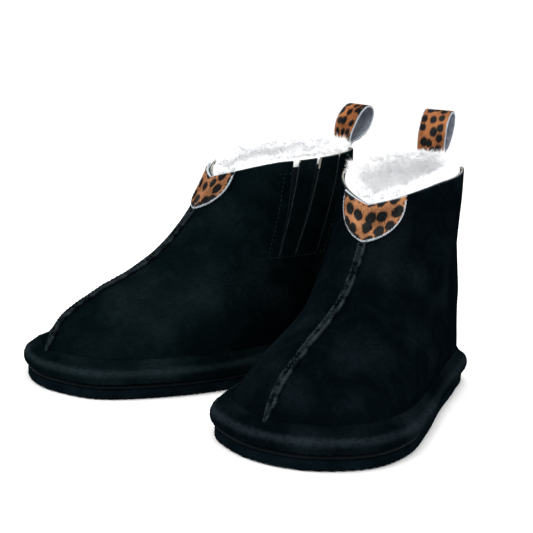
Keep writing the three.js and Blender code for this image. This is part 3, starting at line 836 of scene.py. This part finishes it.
def fleece_rows(boot):
    """The pile's skin as a grid that closes on itself both ways: up the outer side, over the
    rim and down the inner side. Returns it with the numbers of its rim's first and last rows."""
    u = np.arange(420) / 420
    back = bell(u - 0.5, 0.055)
    gore = smooth(u, 0.625, 0.64) * (1 - smooth(u, 0.81, 0.825))
    outer = FLEECE_OUTER - 0.3 - 3.1 * back - 1.1 * gore  # it makes room for the strap and elastic
    rows = [on_boot(u, t, outer, shaped=False)
            for t in (*np.linspace(FLEECE_START, 0.9, 40), 0.93, 0.955, 0.975, 0.99)]
    first_rim = len(rows)
    for part in np.linspace(0, 1, 14):
        rise = 3.6 * math.sin(math.pi * part) ** 0.8 - 0.6
        offset = mix(outer, FLEECE_INNER - 1.2, part)
        rows.append(on_boot(u, 1.0, offset, shaped=False) + [0, 0, rise])
    last_rim = len(rows)
    for t in (0.985, 0.965, *np.linspace(0.94, FLEECE_START, 64)):
        swell = 1.2 * bell(1 - t, 0.06)
        rows.append(on_boot(u, t, FLEECE_INNER - swell, shaped=False))
    rows = np.stack(rows, 1)
    free = np.concatenate([np.zeros(first_rim), [0.2, 0.45, 0.7, 0.9],
                           np.ones(rows.shape[1] - first_rim - 4)])
    inside = np.arange(rows.shape[1]) >= last_rim
    lump = (1.1 * lumps(rows, 17, boot.seed + 1) + 0.9 * lumps(rows, 8, boot.seed + 2)
            + 0.5 * lumps(rows, 3.6, boot.seed + 3))
    folds = 1.6 * np.abs(lumps(rows, 24, boot.seed + 4)) * inside
    rows = rows + grid_normals(rows) * ((lump - folds) * free)[..., None]
    rows[..., 2] = np.maximum(rows[..., 2], FOOTBED[1] + 0.8)
    return rows, first_rim, last_rim


def grid_normals(rows):
    """Unit normals of a grid of points that closes on itself along axis 0."""
    normals = np.cross(np.roll(rows, -1, 0) - np.roll(rows, 1, 0), np.gradient(rows, axis=1))
    return normals / np.maximum(np.linalg.norm(normals, axis=-1, keepdims=True), 1e-9)


def fibres(boot, name, rng, rows, low, high, length):
    """Curled fibres that stand on the fleece between two of its rows."""
    count = 12000
    i = rng.integers(0, len(rows), count)
    j = rng.uniform(low, high, count)
    whole = np.floor(j).astype(int)
    k = (j - whole)[:, None]
    s = rng.uniform(0, 1, count)[:, None]
    here, there = (mix(rows[column, whole], rows[column, whole + 1], k)
                   for column in (i, (i + 1) % len(rows)))
    root = mix(here, there, s)
    up = grid_normals(rows)[i, whole]
    clump = lump_vectors(root, 3.2, boot.seed + 20)
    aim = up + 1.1 * clump + rng.normal(0, 0.28, root.shape) + [0, 0, 0.15]
    bend = 0.9 * lump_vectors(root, 2.2, boot.seed + 30) + rng.normal(0, 0.25, root.shape)
    size = length * rng.uniform(0.6, 1.25, count)
    width = rng.uniform(0.12, 0.23, count)
    boot.piece(name, *strands(root - up * 0.3, aim, bend, size, width), [WOOL], "white_fleece")


def fleece(boot):
    """The lining's pile: a lumpy skin that stands over the suede's edge, then curled fibres."""
    rows, first_rim, last_rim = fleece_rows(boot)
    quads = grid_quads(*rows.shape[:2], closed_i=True, closed_j=True)
    boot.piece("fleece", rows.reshape(-1, 3), [quads], [WOOL], "white_fleece",
               ["lining_outer_side", "lining_inner_side"])
    rng = boot.rng(9)
    fibres(boot, "fleece_rim_fibres", rng, rows, first_rim + 2, last_rim + 3, 3.4)
    fibres(boot, "fleece_wall_fibres", rng, rows, last_rim + 1, last_rim + 40, 3.2)


def patch_place(r, angle):
    """u and t on the patch: r is 1 on its rim, and angle runs from 0 to pi across it."""
    down = np.clip(r * np.sin(angle) ** (2 / 3), 0, 1)
    return PATCH_MIDDLE + PATCH_REACH * r * np.cos(angle), 1 - (1 - PATCH_BOTTOM) * down


def patch_flat(u, t):
    """Millimetres across and down the patch."""
    return np.stack([u / u_per_mm(0, 0.9), (1 - t) * 128, np.zeros(u.shape)], -1)


def front_patch(boot):
    radii = np.concatenate([np.linspace(0.02, 0.9, 36), np.linspace(0.92, 1, 12)])
    angle, r = np.meshgrid(np.linspace(0, math.pi, 130), radii, indexing="ij")
    u, t = patch_place(r, angle)
    flat = patch_flat(u, t)
    rim = np.stack([np.linalg.norm(flat - point, axis=-1) for point in flat[::3, -1]]).min(0)
    rim = np.minimum(rim, (1 - t) * 110 + 0.55)
    puff = 0.25 * lumps(flat, 7, boot.seed + 40)
    outer = on_boot(u, t, PATCH_TOP - lip(rim, 0.8) + puff * smooth(rim, 0.5, 3))
    points, quads = shell(outer, on_boot(u, t, PATCH_GAP))
    shift = np.array([37.0 + boot.seed, 11.0, 0])  # which part of the hide's pattern it shows
    boot.piece("front_patch", points, [quads[:, ::-1]], [HAIR_PATCH], "leopard_hair", ["front_patch"],
               pattern=np.tile(flat.reshape(-1, 3), (2, 1)) + shift, rim=outside_only(rim))

    patch_hair(boot, shift)
    lines = [patch_place(0.925, np.linspace(0.06, math.pi - 0.06, 90)),
             (PATCH_MIDDLE + np.linspace(-0.076, 0.076, 60), 0.985)]
    sew(boot, "front_patch_stitches", lines, PATCH_TOP + 0.12, 2.5, 1.0, 0.24, 51, THREAD,
        "leopard_hair")


def patch_hair(boot, shift, count=9000):
    rng = boot.rng(50)
    angle = rng.uniform(0, math.pi, count)
    u, t = patch_place(np.sqrt(rng.uniform(0, 1, count)) * 0.955, angle)
    root = on_boot(u, t, PATCH_TOP - 0.15)
    fall = unit(on_boot(u, t - 0.02, PATCH_TOP) - root)
    points, faces = lay_hair(rng, root, fall, outward(u, t), 0.15, 0.05, (1.0, 1.7))
    size = len(points) // count
    boot.piece("front_patch_hair", points, faces, [HAIR_PATCH], "leopard_hair",
               pattern=np.repeat(patch_flat(u, t) + shift, size, 0), rim=np.full(len(points), 5.0))


def front_piping(boot):
    """The raised seam from the patch to the toe: two ridges with a rucked furrow between."""
    a, t = np.meshgrid(np.linspace(-1, 1, 25), np.linspace(0.012, 0.80, 420), indexing="ij")
    taper = mix(0.28, 1.0, smooth(t, 0.01, 0.13))
    u = a * PIPING_HALF_WIDTH * taper * u_per_mm(0, t)
    ridges = bell(np.abs(a) - 0.70, 0.20)
    body = 0.5 + 0.75 * (1 - a ** 4) + 0.75 * ridges
    length = t * 190
    ruck = (0.16 * np.sin(TAU * length / 2.3 + 2 * flat_lumps(a * 3, length, 5, 60))
            + 0.2 * flat_lumps(a * 2.5, length, 2.2, 61))
    height = (body + ruck * (1 - a ** 6)) * mix(0.55, 1.0, smooth(t, 0.01, 0.1))
    height = height * (1 - 0.25 * smooth(t, 0.76, 0.80))
    outer = on_boot(u, t, PIPING_GAP - 0.1 + np.maximum(height, 0.15))
    inner = on_boot(u, t, PIPING_GAP - 0.35)
    # Painted highlight: the piping's two raised ridges are turned paler; the lumps are real tone.
    wear = np.clip(0.03 + 0.26 * ridges + 0.22 * flat_lumps(a * 4, length, 3, 62), 0, 1)
    skin(boot, "front_piping", outer, inner, PIPING_SUEDE, "black_suede", wear=wear)
    t = np.linspace(0.09, 0.79, 200)
    lines = [(side * 0.36 * PIPING_HALF_WIDTH * u_per_mm(0, t), t) for side in (-1, 1)]
    sew(boot, "front_piping_stitches", lines, PIPING_GAP + 1.1, 2.2, 0.9, 0.24, 63, DARK_THREAD)


def back_strip(boot):
    top = 0.985
    close = np.array([0, 0.02, 0.05, 0.1])
    across = np.concatenate([close - 1, np.linspace(-0.85, 0.85, 18), 1 - close[::-1]])
    a, t = np.meshgrid(across, edge_rows(0.03, top, 160), indexing="ij")
    u = 0.5 + a * BACK_STRIP_HALF_WIDTH * u_per_mm(0.5, t)
    edge = (1 - np.abs(a)) * BACK_STRIP_HALF_WIDTH
    seam = 0.3 * bell(np.abs(a) - BACK_STRIP_SEAM, 0.06)
    lift = BACK_STRIP_GAP + BACK_STRIP_THICKNESS - lip(edge, 0.7) - seam - lip((top - t) * 140, 0.6)
    outer = on_boot(u, t, lift)
    inner = on_boot(u, t, BACK_STRIP_GAP - 0.2)
    wear = np.clip(0.5 * np.clip(1 - edge / 0.7, 0, 1) + 0.12 * lumps(outer, 12, 71), 0, 1)
    skin(boot, "back_strip", outer, inner, SUEDE[boot.side], "black_suede", wear=wear)
    t = np.linspace(0.06, 0.975, 200)
    lines = [(0.5 + side * BACK_STRIP_SEAM * BACK_STRIP_HALF_WIDTH * u_per_mm(0.5, t), t)
             for side in (-1, 1)]
    sew(boot, "back_strip_stitches", lines, BACK_STRIP_GAP + BACK_STRIP_THICKNESS - 0.25, 2.4, 0.9, 0.24,
        72, DARK_THREAD)


STRAP_HALF = LOOP_WIDTH / 2 - 0.35
STRAP_COLUMNS = 25


def loop_base():
    """The middle of the strap where it leaves the collar, in boot millimetres."""
    return on_boot(0.5, 1.0, TAIL_MIDDLE, shaped=False) + [0, 0, LOOP_LIFT]


def loop_rise(boot):
    lean = math.radians(LOOP_LEAN[boot.side])
    return np.array([0, math.sin(lean), math.cos(lean)])


def strap_path(boot):
    """The strap's middle line in the boot's upright middle plane, as (y, z): up out of the
    collar behind, round the loop, and down again in front. Returns it with its direction and
    the way out of the loop."""
    angle = np.linspace(0.16, TAU - 0.16, 120)
    across = (LOOP_HALF_SPREAD - 0.7) * np.sin(angle) * mix(0.5, 1, np.sin(angle / 2))
    height = 1.2 + (LOOP_HEIGHT - 2.2) * (1 - np.cos(angle)) / 2
    _, lean_y, lean_z = loop_rise(boot)
    loop = np.stack([across * lean_z + height * lean_y, height * lean_z - across * lean_y], -1)
    loop = loop + loop_base()[1:]
    tail = np.linspace(TAIL_BOTTOM + 0.005, 1.0, 16)
    behind, before = (on_boot(0.5, tail, TAIL_MIDDLE + shift, shaped=False)[:, 1:]
                      for shift in (0.68, -0.68))
    path = resample(np.concatenate([behind, loop[4:-4], before[::-1]]), 0.9)
    for _ in range(6):
        path[1:-1] = (path[:-2] + 2 * path[1:-1] + path[2:]) / 4
    path = resample(path, 0.7)
    along = unit(np.gradient(path, axis=0))
    return path, along, np.stack([along[:, 1], -along[:, 0]], -1)


def upright(flat):
    """Points or directions of the boot's middle plane, as (0, y, z)."""
    return np.concatenate([np.zeros((len(flat), 1)), flat], -1)


def twisted(boot, points):
    """Turns points about the upright line through the loop's base, more the higher they are."""
    base = loop_base()
    turn = math.radians(LOOP_TWIST[boot.side]) * smooth(points[:, 2], base[2] - 2, base[2] + 16)
    x, y = points[:, 0] - base[0], points[:, 1] - base[1]
    return np.stack([base[0] + x * np.cos(turn) - y * np.sin(turn),
                     base[1] + x * np.sin(turn) + y * np.cos(turn), points[:, 2]], -1)


def strap_piece(boot, name, points, faces, materials, x, length, repeat=1, replaces=(), **extras):
    """A piece of the strap, turned about the upright line through the loop's base, more the higher it
    stands. x and length are millimetres across and along the strap, for its pattern."""
    flat = np.stack([x, length, np.zeros(x.shape)], -1).reshape(-1, 3)
    flat = np.repeat(flat + [91.0 + 1.7 * boot.seed, 5.0, 0], repeat, 0)
    thing = boot.piece(name, twisted(boot, points), faces, materials, "leopard_strap", replaces,
                       body=None, pattern=flat, **extras)
    start, end = (boot.place(loop_base() + loop_rise(boot) * far) for far in (-3.0, 6.0))
    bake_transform(thing)


def pull_loop(boot):
    """One strap from tail to tail: haired outside, flesh inside, with pale cut edges."""
    path, along, out = strap_path(boot)
    lengths = lengths_along(path)
    side = np.linspace(-1, 1, STRAP_COLUMNS)
    half_thick = STRAP_THICKNESS / 2 * (1 - 0.35 * np.abs(side) ** 10)
    section_x = STRAP_HALF * np.concatenate([side, side[::-1]])
    section_out = np.concatenate([half_thick, -half_thick[::-1]])
    x, length = np.meshgrid(section_x, lengths)
    part = lengths[:, None] / lengths[-1]
    sway = smooth(part, 0.12, 0.3) * (1 - smooth(part, 0.7, 0.88))
    reach = section_out + 0.35 * flat_lumps(x, length, 13, boot.seed + 90) * sway
    points = np.concatenate([x[..., None], path[:, None] + out[:, None] * reach[..., None]], -1)

    rows, columns = x.shape
    k = np.arange(STRAP_COLUMNS - 1)
    end = np.stack([k, k + 1, columns - 2 - k, columns - 1 - k], 1)
    quads = np.concatenate([grid_quads(rows, columns, closed_j=True), end,
                            end[:, ::-1] + (rows - 1) * columns])
    column = quads % columns
    edge = np.zeros(len(quads), bool)
    for one, other in ((STRAP_COLUMNS - 1, STRAP_COLUMNS), (0, columns - 1)):
        edge |= (column == one).any(1) & (column == other).any(1)
    flesh = (column >= STRAP_COLUMNS - 1).all(1)
    rim = np.where(np.arange(columns) < STRAP_COLUMNS, STRAP_HALF - np.abs(x) + 0.35, 0)
    strap_piece(boot, "pull_loop", points.reshape(-1, 3), [quads], [HAIR_STRAP, FLESH_SIDE, PALE_EDGE],
                x, length, replaces=["pull_loop", "pull_loop_tail"], rim=rim.ravel(),
                indices=np.where(edge, 2, np.where(flesh, 1, 0)))
    strap_hair(boot, path, along, out, lengths)


def strap_hair(boot, path, along, out, lengths, count=8000):
    rng = boot.rng(95)
    free = rng.uniform(0.16, 0.84, count) * (len(path) - 2)
    k = free.astype(int)
    x = rng.uniform(-1, 1, count) * (STRAP_HALF - 0.2)
    root = upright(mix(path[k], path[k + 1], (free - k)[:, None]) + out[k] * (STRAP_THICKNESS / 2 - 0.1))
    root[:, 0] = x
    points, faces = lay_hair(rng, root, upright(along[k]), upright(out[k]), 0.12, 0, (0.9, 1.5))
    strap_piece(boot, "pull_loop_hair", points, faces, [HAIR_STRAP], x, lengths[k],
                repeat=len(points) // count, rim=np.full(len(points), 5.0))


def make_boot(side):
    boot = Boot(side)
    for make in (outer_upper, inner_upper, gore_elastic, gore_stitches, welt_roll, soles, footbed,
                 fleece, front_patch, front_piping, back_strip, pull_loop):
        make(boot)
    for node, material in (("heel_counter", STIFFENER), ("insole_board", FIBRE_BOARD)):
        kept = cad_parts[f"{side}_{node}"]
        kept.data.materials.clear()
        kept.data.materials.append(material)


for side_name in ("left", "right"):
    make_boot(side_name)

# ---------- Floor, light and camera ----------
low, high = (Vector(corner) for corner in CAD_BOX)
ground = Vector(((low.x + high.x) / 2, (low.y + high.y) / 2, low.z))
CAMERA_PLACE = Vector((0.5552, -0.5981, 0.2449))  # from the middle of the ground under the pair
CAMERA_AZIMUTH, CAMERA_DOWN, CAMERA_ROLL = 43.6, 11.44, 3.05


def pale_floor(reach=30.0, z=-0.0004):
    mesh = bpy.data.meshes.new("floor")
    corners = ((-reach, -reach, z), (reach, -reach, z), (reach, reach, z), (-reach, reach, z))
    mesh.from_pydata(corners, [], [(0, 1, 2, 3)])
    finish = Finish("pale_floor", Specular_IOR_Level=0.1, Roughness=0.9)
    grain = finish.add("TexNoise", {"Scale": 14.0}).outputs["Fac"]
    mesh.materials.append(finish.shade(Base_Color=finish.blend(grain, (0.93,) * 3, (0.95,) * 3)))
    floor = bpy.data.objects.new("floor", mesh)
    floor.location = ground
    bpy.context.scene.collection.objects.link(floor)


def white_world():
    world = bpy.data.worlds.new("studio")
    world.use_nodes = True
    background = world.node_tree.nodes["Background"]
    background.inputs["Color"].default_value = (1.0, 1.0, 1.0, 1)
    background.inputs["Strength"].default_value = 1.15
    bpy.context.scene.world = world


def softbox(name, azimuth, elevation, distance, size, power):
    """An area light round the object; azimuth 0 stands in front of the toes, at -Y."""
    a, e = math.radians(azimuth), math.radians(elevation)
    data = bpy.data.lights.new(name, "AREA")
    data.shape, data.size, data.energy = "SQUARE", size, power
    light = bpy.data.objects.new(name, data)
    away = Vector((math.sin(a) * math.cos(e), -math.cos(a) * math.cos(e), math.sin(e)))
    light.location = ground + away * distance
    light.rotation_mode = "QUATERNION"
    light.rotation_quaternion = (-away).to_track_quat("-Z", "Y")
    bpy.context.scene.collection.objects.link(light)


def place_camera():
    data = bpy.data.cameras.new("camera")
    data.lens, data.sensor_width = 87.5, 36.0
    camera = bpy.data.objects.new("camera", data)
    camera.location = ground + CAMERA_PLACE
    turns = zip((CAMERA_AZIMUTH, 90 - CAMERA_DOWN, CAMERA_ROLL), "ZXZ")
    heading, pitch, roll = (Matrix.Rotation(math.radians(angle), 4, axis) for angle, axis in turns)
    camera.rotation_mode = "QUATERNION"
    camera.rotation_quaternion = (heading @ pitch @ roll).to_quaternion()
    bpy.context.scene.collection.objects.link(camera)
    bpy.context.scene.camera = camera


pale_floor()
white_world()
softbox("key", -15, 55, 1.6, 1.2, 10)
softbox("fill", 95, 35, 1.8, 1.4, 4)
softbox("top", 45, 80, 1.5, 1.2, 12)
place_camera()
bpy.context.scene.view_settings.view_transform = "Standard"

bpy.context.view_layer.update()
